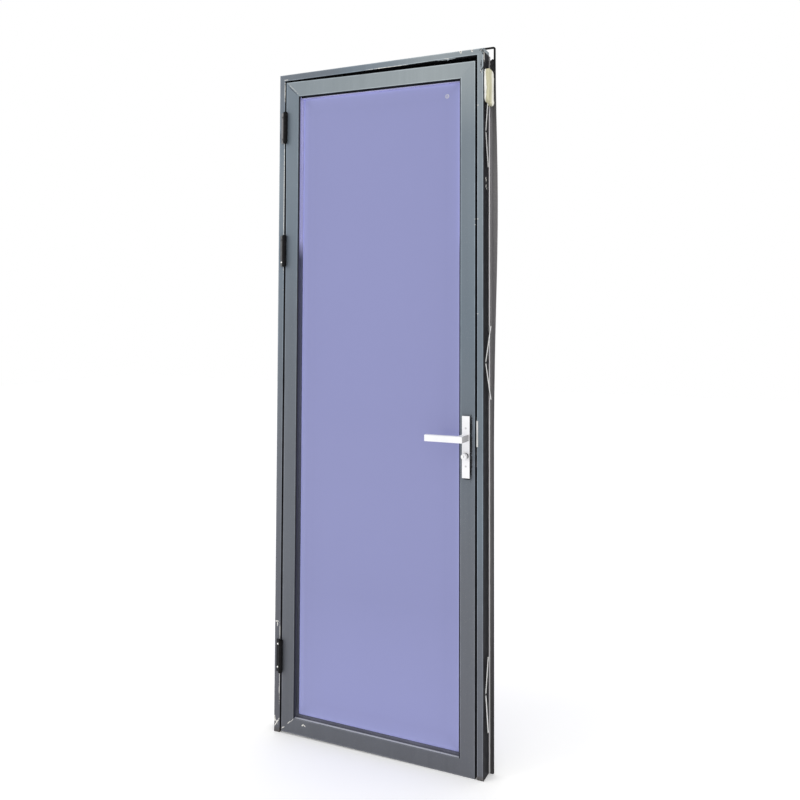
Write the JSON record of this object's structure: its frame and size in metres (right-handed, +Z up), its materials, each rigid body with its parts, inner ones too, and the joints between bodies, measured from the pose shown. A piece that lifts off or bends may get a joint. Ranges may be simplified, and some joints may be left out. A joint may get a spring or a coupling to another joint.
{
  "type": "glass door",
  "caption": "Full-height hinged glass door in a grey aluminium frame, with lever handles, lock, surface hinges and bent wall straps; used and slightly sagging.",
  "frame": {"origin": "middle of the frame's width and depth, at floor level", "axes": "+X to the lock side, +Y from the front face to the back, +Z up"},
  "size_m": [0.739, 0.168, 2.1195],
  "materials": {
    "frame_paint": "grey satin paint, scratched and chipped",
    "leaf_paint": "grey satin paint",
    "bare_aluminium": "bare",
    "black_hinge": "black satin",
    "zinc_strap": "dull zinc",
    "steel": "brushed",
    "cylinder_metal": "satin nickel",
    "handle_white": "white satin",
    "pane": "tinted blue violet",
    "black_rubber": "matt black",
    "foam": "cured foam, cut and dusty",
    "edging": "dark grey"
  },
  "bodies": {
    "frame": {"hinge_jamb": "frame_paint", "lock_jamb": "frame_paint", "head": "frame_paint", "frame_corner_cleats": "bare_aluminium", "hinge_top_frame_half": "black_hinge", "hinge_middle_frame_half": "black_hinge", "hinge_bottom_frame_half": "black_hinge", "hinge_top_pin": "black_hinge", "hinge_middle_pin": "black_hinge", "hinge_bottom_pin": "black_hinge", "lock_strap_top": "zinc_strap", "lock_strap_middle": "zinc_strap", "lock_strap_bottom": "zinc_strap", "hinge_strap_top": "zinc_strap", "hinge_strap_middle": "zinc_strap", "hinge_strap_bottom": "zinc_strap", "strike_plate": "steel", "strike_screws": "steel", "strap_screws": "steel", "hinge_frame_screws": "steel", "frame_seal": "black_rubber", "foam_lump": "foam", "edge_strip": "edging"},
    "leaf": {"hinge_stile": "leaf_paint", "lock_stile": "leaf_paint", "top_rail": "leaf_paint", "bottom_rail": "leaf_paint", "leaf_corner_cleats": "bare_aluminium", "glass_pane": "pane", "front_gasket": "black_rubber", "rear_gasket": "black_rubber", "bead_bottom": "leaf_paint", "bead_lock": "leaf_paint", "bead_top": "leaf_paint", "bead_hinge": "leaf_paint", "setting_blocks": "black_rubber", "hinge_top_leaf_half": "black_hinge", "hinge_middle_leaf_half": "black_hinge", "hinge_bottom_leaf_half": "black_hinge", "hinge_leaf_screws": "steel", "lock_case": "steel", "lock_faceplate": "steel", "faceplate_screws": "steel", "cylinder_body": "cylinder_metal", "front_handle_plate": "handle_white", "rear_handle_plate": "handle_white", "handle_bolts": "steel"},
    "handle": {"front_lever": "handle_white", "rear_lever": "handle_white", "spindle": "steel", "lock_hub": "steel"},
    "lock_bolt": {"lock_bolt": "steel"},
    "key": {"key_plug": "cylinder_metal", "thumb_turn": "cylinder_metal"},
    "dead_bolt": {"dead_bolt": "steel"}
  },
  "joints": [
    {"name": "leaf_swing", "type": "hinge", "parent": "frame", "child": "leaf", "pos_m": [-0.324, -0.033, 1], "axis": [0, 0, -1], "range_deg": [0, 110]},
    {"name": "handle_lift", "type": "hinge", "parent": "leaf", "child": "handle", "pos_m": [0.298, 0, 0.966], "axis": [0, 1, 0], "range_deg": [0, 45]},
    {"name": "bolt_throw", "type": "slide", "parent": "leaf", "child": "lock_bolt", "axis": [1, 0, 0], "range_m": [0, 0.014]},
    {"name": "key_turn", "type": "hinge", "parent": "leaf", "child": "key", "pos_m": [0.298, 0, 0.913], "axis": [0, 1, 0], "range_deg": [0, 90]},
    {"name": "dead_bolt_throw", "type": "slide", "parent": "leaf", "child": "dead_bolt", "axis": [1, 0, 0], "range_m": [0, 0.014]}
  ],
  "couplings": [
    {"joint": "bolt_throw", "follows": "handle_lift", "m_per_rad": 0.01782},
    {"joint": "dead_bolt_throw", "follows": "key_turn", "m_per_rad": 0.00891}
  ]
}
